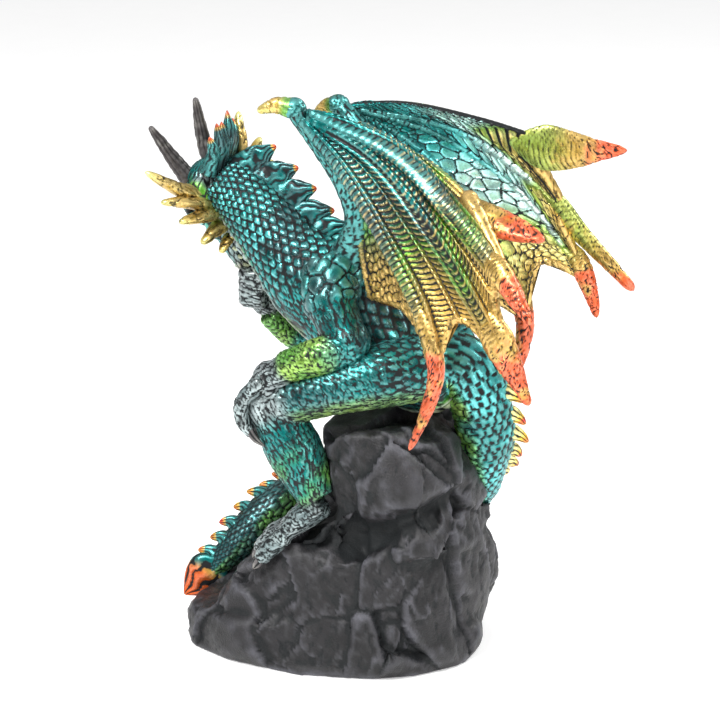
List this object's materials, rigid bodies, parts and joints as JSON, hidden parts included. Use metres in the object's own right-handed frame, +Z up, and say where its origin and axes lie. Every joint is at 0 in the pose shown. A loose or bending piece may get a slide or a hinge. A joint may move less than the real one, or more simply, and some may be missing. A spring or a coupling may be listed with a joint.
{
  "type": "dragon figurine",
  "caption": "Cast figurine of a horned, winged dragon sitting in thought on a chiselled rock, chin on its fist, with a crested tail curled round the rock to a leaf-shaped tip.",
  "frame": {"origin": "middle of the rock's flat underside", "axes": "+Z up; the dragon's body faces -Y, and its left side is +X"},
  "size_m": [0.1059, 0.1375, 0.169],
  "materials": {
    "dragon": "cast resin, metallic teal paint over black shading to green, gold and orange at the wing tips, gloss varnish",
    "rock": "cast resin, charcoal black with blue-grey dry-brushed edges, satin"
  },
  "bodies": {
    "root": {"dragon": "dragon", "rock_base": "rock"}
  },
  "joints": []
}
